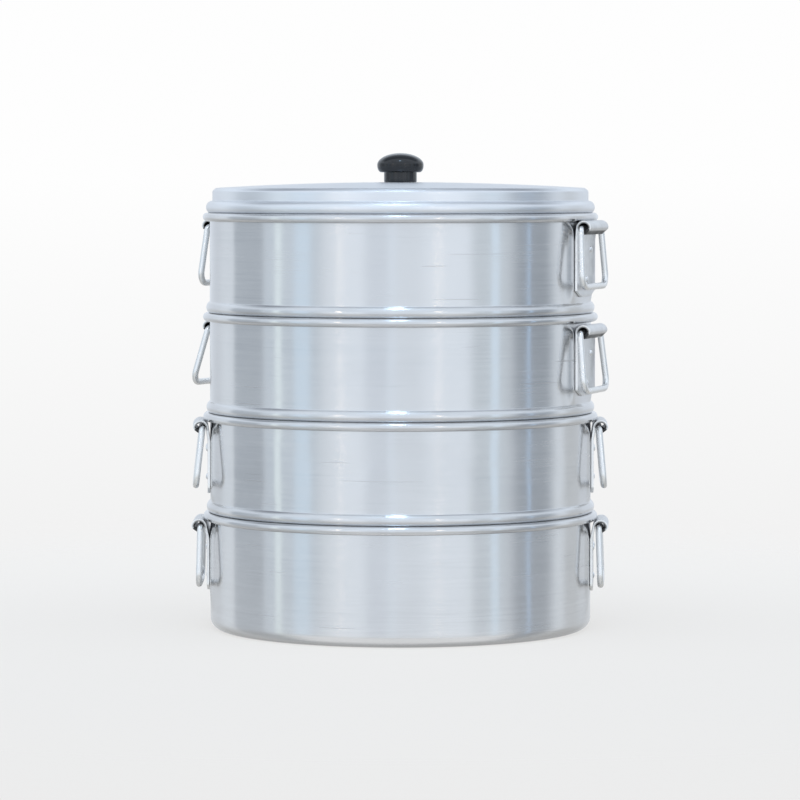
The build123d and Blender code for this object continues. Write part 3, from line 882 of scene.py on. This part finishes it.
rolled_sheet = plate_metal("rolled sheet", 1.0, (0.80, 0.805, 0.81), (0.66, 0.665, 0.675), 0.36, 0.000012)
# The cut edges: sheared metal, painted near white as a painted highlight.
sheared_edge_and_highlight = plate_metal("sheared edge and highlight", 5.0, (1.0, 0.995, 0.98), (0.95, 0.945, 0.93), 0.45, 0.000012)
plate_steps = 14
plate_edge_round = 0.22 * mm
plate_wobble_across = 0.25 * mm
plate_wobble_up = 0.18 * mm


def handle_place(name, side):
    """Turns a handle from the +X side to where it is fixed on its vessel."""
    right_turn, left_turn = handle_turns[name]
    turned = -right_turn if side == "right" else 180 - left_turn
    return Matrix.Rotation(radians(turned), 4, "Z")


def handle_seed(name, side):
    """A place in the noise for each handle, so that no two are bent alike."""
    seed = 10 * list(plate_leans).index(name) + (3 if side == "left" else 0)
    return Vector((seed, seed, seed))


def make_plate(name, side):
    lean = plate_leans[name]
    top = handle_top(name)
    roll_x, roll_z = roll_place(lean, top)
    turn = radians(lean)
    lean_top = Vector(from_roll(lean, top, -roll_mid, 0))
    lean_foot = (plate_mid, lean_top.y - plate_lean_run * cos(turn))
    low = roll_z + roll_radius - plate_heights[name]
    form = bmesh.new()
    ends = [form.verts.new((plate_mid, 0, low))]
    ends = run_to(form, ends, plate_mid, low + plate_corner.y, 2)
    ends = run_to(form, ends, plate_mid, lean_foot[1] - plate_bend, 10)
    ends = round_corner(form, ends, lean_foot, lean_top, plate_bend, 6)
    ends = run_to(form, ends, lean_top.x, lean_top.y, 3)
    ends = bend_about(form, ends, roll_x, roll_z, roll_turn_end - 180, 26)
    bend_offset = roll_mid - lip_bend
    bend_x, bend_z = from_roll(lean, top, bend_offset * cos(radians(roll_turn_end)),
                               bend_offset * sin(radians(roll_turn_end)))
    ends = bend_about(form, ends, bend_x, bend_z, -roll_turn_end - lip_slope, 10)
    lip_x, lip_z = lip_start()
    slope = radians(lip_slope)
    lip_end = from_roll(lean, top, lip_x - lip_length * sin(slope), lip_z - lip_length * cos(slope))
    run_to(form, ends, lip_end[0], lip_end[1], 3)
    bmesh.ops.translate(form, verts=form.verts, vec=(0, -plate_width / 2, 0))
    edges = form.edges[:]
    for _ in range(plate_steps):
        made = bmesh.ops.extrude_edge_only(form, edges=edges)["geom"]
        bmesh.ops.translate(form, verts=[v for v in made if isinstance(v, bmesh.types.BMVert)],
                            vec=(0, plate_width / plate_steps, 0))
        edges = [e for e in made if isinstance(e, bmesh.types.BMEdge)]
    for hand in (-1, 1):
        corner = Vector((plate_mid, hand * plate_width / 2, low + plate_corner.y))
        outwards = Vector((0, hand * plate_corner.y, -plate_corner.x))
        bmesh.ops.bisect_plane(form, geom=form.verts[:] + form.edges[:] + form.faces[:], dist=1e-6,
                               plane_co=corner, plane_no=outwards, clear_outer=True)
    for vertex in form.verts:
        spot = 22 * vertex.co + handle_seed(name, side)
        vertex.co.z += plate_wobble_up * noise.noise(spot)
        vertex.co.y += plate_wobble_across * noise.noise(0.6 * spot + Vector((7, 7, 7)))
    place = handle_place(name, side)
    bmesh.ops.transform(form, matrix=place, verts=form.verts)
    node = f"{name}_{side}_handle_plate"
    piece = add_piece(node + "_rolled", form, rolled_sheet, name, sheet=plate_sheet,
                      bevel=plate_edge_round, rim=sheared_edge_and_highlight)
    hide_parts(node)
    # Painted shade: the points inside the roll are marked 1, so that they are painted nearly black.
    painted_roll_shade = piece.data.attributes.new("painted_roll_shade", "FLOAT", "POINT")
    for vertex in piece.data.vertices:
        flat = place.inverted() @ vertex.co
        in_roll = hypot(flat.x - roll_x, flat.z - roll_z) < roll_mid
        painted_roll_shade.data[vertex.index].value = 1.0 if in_roll else 0.0


handles = [(name, side) for name in plate_leans for side in ("right", "left")]
for name, side in handles:
    make_plate(name, side)

# Bails. Drawn aluminium rod, bent cold into a closed loop whose top bar lies in the plate's
# roll, with its ends butted there out of sight. Hands keep its low bar bright.
bail_side_play = 0.5 * mm
bail_top_bend = 4.5 * mm
bail_low_bend = 11 * mm
bail_drop = 53.7 * mm
bail_splay = 6
bail_wobble_across = 0.35 * mm
bail_wobble_up = 0.3 * mm
rod_steps = 28


def pivot_place(lean, top):
    """The rod's middle, lying in the notch between the plate and the lip."""
    slope = radians(lip_slope)
    lip_x, lip_z = lip_start()
    rod_x = -(roll_radius - plate_sheet) + rod_radius + rod_seat_gap
    lip_distance = rod_radius + rod_seat_gap + plate_sheet / 2
    rod_z = lip_z + (lip_distance - (lip_x - rod_x) * cos(slope)) / sin(slope)
    return from_roll(lean, top, rod_x, rod_z)


def rod_on(form, ring, vec, steps):
    """Draws the rod's open end on in a straight line."""
    for _ in range(steps):
        made = bmesh.ops.extrude_edge_only(form, edges=ring)["geom"]
        moved = [v for v in made if isinstance(v, bmesh.types.BMVert)]
        bmesh.ops.translate(form, verts=moved, vec=vec / steps)
        ring = [e for e in made if isinstance(e, bmesh.types.BMEdge)]
    return ring


def rod_round(form, ring, y, z, turn, steps):
    """Bends the rod on about y across and z up. A positive turn goes from sideways to upwards."""
    made = bmesh.ops.spin(form, geom=ring, cent=(0, y, z), axis=(1, 0, 0), angle=radians(turn), steps=steps,
                          use_merge=False)
    return [e for e in made["geom_last"] if isinstance(e, bmesh.types.BMEdge)]


def make_bail(name, side, metal):
    straight = plate_width / 2 + bail_side_play
    splay = radians(bail_splay)
    top_turn = 90 - bail_splay
    low_turn = 90 + bail_splay
    bends = bail_top_bend * tan(radians(top_turn / 2)) + bail_low_bend * tan(radians(low_turn / 2))
    leg = bail_drop / cos(splay) - bends
    downwards = Vector((0, sin(splay), -cos(splay)))
    sideways = Matrix.Rotation(pi / 2, 4, "X")
    form = bmesh.new()
    bmesh.ops.create_circle(form, segments=rod_steps, radius=rod_radius, matrix=sideways)
    ring = rod_on(form, form.edges[:], Vector((0, straight, 0)), 6)
    ring = rod_round(form, ring, straight, -bail_top_bend, -top_turn, 12)
    ring = rod_on(form, ring, downwards * leg, 10)
    foot = sum((v.co for e in ring for v in e.verts), Vector()) / (2 * len(ring))
    inwards = Vector((0, -cos(splay), -sin(splay)))
    middle = foot + inwards * bail_low_bend
    ring = rod_round(form, ring, middle.y, middle.z, -low_turn, 18)
    low_y = sum(v.co.y for e in ring for v in e.verts) / (2 * len(ring))
    rod_on(form, ring, Vector((0, -low_y, 0)), 6)
    half = form.verts[:] + form.edges[:] + form.faces[:]
    bmesh.ops.mirror(form, geom=half, axis="Y", merge_dist=0.02 * mm)
    bmesh.ops.remove_doubles(form, verts=form.verts, dist=0.02 * mm)
    for vertex in form.verts:
        share = min(1.0, max(0.0, -vertex.co.z / bail_drop))
        spot = 8 * vertex.co + handle_seed(name, side) / 2
        vertex.co.y += share * bail_wobble_across * noise.noise(spot)
        vertex.co.z += share * bail_wobble_up * noise.noise(spot + Vector((5, 5, 5)))
    hang = bail_hangs[name][0 if side == "right" else 1]
    pivot_x, pivot_z = pivot_place(plate_leans[name], handle_top(name))
    hung = Matrix.Translation((pivot_x, 0, pivot_z)) @ Matrix.Rotation(radians(-hang), 4, "Y")
    bmesh.ops.transform(form, matrix=handle_place(name, side) @ hung, verts=form.verts)
    node = f"{name}_{side}_bail"
    piece = add_piece(node + "_bent", form, metal, node, sharp=60)
    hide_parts(node)


drawn_rod = plate_metal("drawn rod", 2.0, (0.86, 0.86, 0.85), (0.82, 0.82, 0.82), 0.3, 0.0000008)
for name, side in handles:
    make_bail(name, side, drawn_rod)

# Rivets. Soft aluminium, three to a plate, with a domed head outside that a hammer has
# flattened a little, and a flat formed tail inside the wall.
rivet_radius = 1.6 * mm
rivet_head_radius = 3.2 * mm
rivet_head_height = 1.7 * mm
rivet_tail_radius = 3.1 * mm
rivet_tail_height = 1.3 * mm
rivet_spread = 28 * mm
rivet_upper_drop = 20 * mm
rivet_lower_drop = 47.5 * mm
rivet_hammering = 0.16 * mm
rivet_steps = 28


def make_rivets(name, side, metal):
    roll_z = roll_place(plate_leans[name], handle_top(name))[1]
    upper = roll_z - rivet_upper_drop
    form = bmesh.new()
    for y, z in ((-rivet_spread / 2, upper), (rivet_spread / 2, upper), (0, roll_z - rivet_lower_drop)):
        tail_face = sqrt((wall_radius - vessel_sheet) ** 2 - (abs(y) + rivet_tail_radius) ** 2) - clamp_gap
        head_face = plate_face + clamp_gap
        rivet = bmesh.new()
        ends = [rivet.verts.new((0, 0, tail_face - rivet_tail_height))]
        ends = run_to(rivet, ends, rivet_tail_radius, tail_face - rivet_tail_height)
        ends = run_to(rivet, ends, rivet_tail_radius, tail_face)
        ends = run_to(rivet, ends, rivet_radius, tail_face)
        ends = run_to(rivet, ends, rivet_radius, head_face)
        ends = run_to(rivet, ends, rivet_head_radius, head_face)
        dome_radius = (rivet_head_radius**2 + rivet_head_height**2) / (2 * rivet_head_height)
        dome_turn = degrees(asin(rivet_head_radius / dome_radius))
        bend_about(rivet, ends, 0, head_face + rivet_head_height - dome_radius, dome_turn, 8)
        spin_round(rivet, rivet_steps)
        across = Matrix.Translation((0, y, z)) @ Matrix.Rotation(pi / 2, 4, "Y")
        bmesh.ops.transform(rivet, matrix=across, verts=rivet.verts)
        for vertex in rivet.verts:
            if vertex.co.x > head_face + 0.1 * mm:
                vertex.co.x += rivet_hammering * noise.noise(520 * vertex.co)
        loose = bpy.data.meshes.new("rivet")
        rivet.to_mesh(loose)
        rivet.free()
        form.from_mesh(loose)
        bpy.data.meshes.remove(loose)
    bmesh.ops.transform(form, matrix=handle_place(name, side), verts=form.verts)
    node = f"{name}_{side}_rivets"
    piece = add_piece(node + "_headed", form, metal, name, sharp=50)
    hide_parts(node)


hammered = plate_metal("hammered rivet", 8.0, (0.90, 0.905, 0.91), (0.76, 0.765, 0.775), 0.2, 0.00002)
for name, side in handles:
    make_rivets(name, side, hammered)
